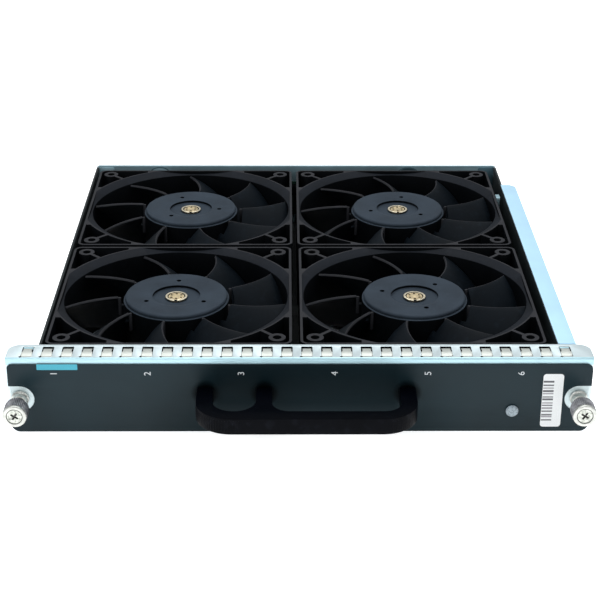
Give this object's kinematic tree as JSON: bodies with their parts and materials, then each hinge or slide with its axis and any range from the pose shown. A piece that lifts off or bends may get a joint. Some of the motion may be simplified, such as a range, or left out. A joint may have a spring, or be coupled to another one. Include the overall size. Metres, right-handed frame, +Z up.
{
  "type": "switch fan tray",
  "caption": "Pull-out fan tray for a modular network switch: steel tray of axial fans behind a dark front panel with a pull handle, captive thumbscrews and spring fingers.",
  "frame": {"origin": "on the underside of the tray floor, at the middle of the front panel's width, in line with the front edge of the front fans", "axes": "+X to the right seen from the front, +Y from the front panel to the rear connector, +Z up, to the fans' intake side"},
  "size_m": [0.2794, 0.3057, 0.04],
  "materials": {
    "zinc": "bright zinc-plated sheet with a pale blue cast",
    "spring_steel": "bright spring steel",
    "slate_face": "dark slate, fine matt",
    "black_gloss": "black moulded, glossy",
    "fan_black": "black moulded, satin",
    "brass": "turned brass",
    "nickel": "nickel plate, knurled",
    "steel": "plain steel",
    "magnet": "dark bonded magnet",
    "lamination": "stacked steel laminations",
    "board": "green circuit board",
    "lens_grey": "grey moulded light guide"
  },
  "bodies": {
    "tray": {"tray_pan": "zinc", "front_panel": "zinc", "face_overlay": "slate_face", "finger_strip": "spring_steel", "handle": "black_gloss", "handle_screw_left": "steel", "handle_screw_right": "steel", "ferrule_left": "nickel", "ferrule_right": "nickel", "status_lens": "lens_grey", "control_board": "board", "rear_connector": "black_gloss", "front_left_frame": "fan_black", "front_left_bearing": "steel", "front_left_stator": "lamination", "front_left_screw_1": "steel", "front_left_screw_2": "steel", "front_left_screw_3": "steel", "front_left_screw_4": "steel", "front_right_frame": "fan_black", "front_right_bearing": "steel", "front_right_stator": "lamination", "front_right_screw_1": "steel", "front_right_screw_2": "steel", "front_right_screw_3": "steel", "front_right_screw_4": "steel", "rear_left_frame": "fan_black", "rear_left_bearing": "steel", "rear_left_stator": "lamination", "rear_left_screw_1": "steel", "rear_left_screw_2": "steel", "rear_left_screw_3": "steel", "rear_left_screw_4": "steel", "rear_right_frame": "fan_black", "rear_right_bearing": "steel", "rear_right_stator": "lamination", "rear_right_screw_1": "steel", "rear_right_screw_2": "steel", "rear_right_screw_3": "steel", "rear_right_screw_4": "steel"},
    "rotor_front_left": {"front_left_impeller": "fan_black", "front_left_brass_insert": "brass", "front_left_shaft": "steel", "front_left_magnet_ring": "magnet"},
    "rotor_front_right": {"front_right_impeller": "fan_black", "front_right_brass_insert": "brass", "front_right_shaft": "steel", "front_right_magnet_ring": "magnet"},
    "rotor_rear_left": {"rear_left_impeller": "fan_black", "rear_left_brass_insert": "brass", "rear_left_shaft": "steel", "rear_left_magnet_ring": "magnet"},
    "rotor_rear_right": {"rear_right_impeller": "fan_black", "rear_right_brass_insert": "brass", "rear_right_shaft": "steel", "rear_right_magnet_ring": "magnet"},
    "clip_left": {"retaining_clip_left": "steel"},
    "screw_left": {"thumbscrew_left": "nickel"},
    "clip_right": {"retaining_clip_right": "steel"},
    "screw_right": {"thumbscrew_right": "nickel"}
  },
  "joints": [
    {"name": "front_left_spin", "type": "hinge", "parent": "tray", "child": "rotor_front_left", "pos_m": [-0.06345, 0.06, 0.0385], "axis": [0, 0, 1], "continuous": true},
    {"name": "front_right_spin", "type": "hinge", "parent": "tray", "child": "rotor_front_right", "pos_m": [0.06005, 0.06, 0.0385], "axis": [0, 0, 1], "continuous": true},
    {"name": "rear_left_spin", "type": "hinge", "parent": "tray", "child": "rotor_rear_left", "pos_m": [-0.0628, 0.1823, 0.0385], "axis": [0, 0, 1], "continuous": true},
    {"name": "rear_right_spin", "type": "hinge", "parent": "tray", "child": "rotor_rear_right", "pos_m": [0.0594, 0.1823, 0.0385], "axis": [0, 0, 1], "continuous": true},
    {"name": "left_screw_slide", "type": "slide", "parent": "tray", "child": "clip_left", "axis": [0, 1, 0], "range_m": [0, 0.004]},
    {"name": "left_screw_turn", "type": "hinge", "parent": "clip_left", "child": "screw_left", "pos_m": [-0.1338, -0.03, 0.018], "axis": [0, 1, 0], "continuous": true},
    {"name": "right_screw_slide", "type": "slide", "parent": "tray", "child": "clip_right", "axis": [0, 1, 0], "range_m": [0, 0.004]},
    {"name": "right_screw_turn", "type": "hinge", "parent": "clip_right", "child": "screw_right", "pos_m": [0.1338, -0.03, 0.018], "axis": [0, 1, 0], "continuous": true}
  ]
}
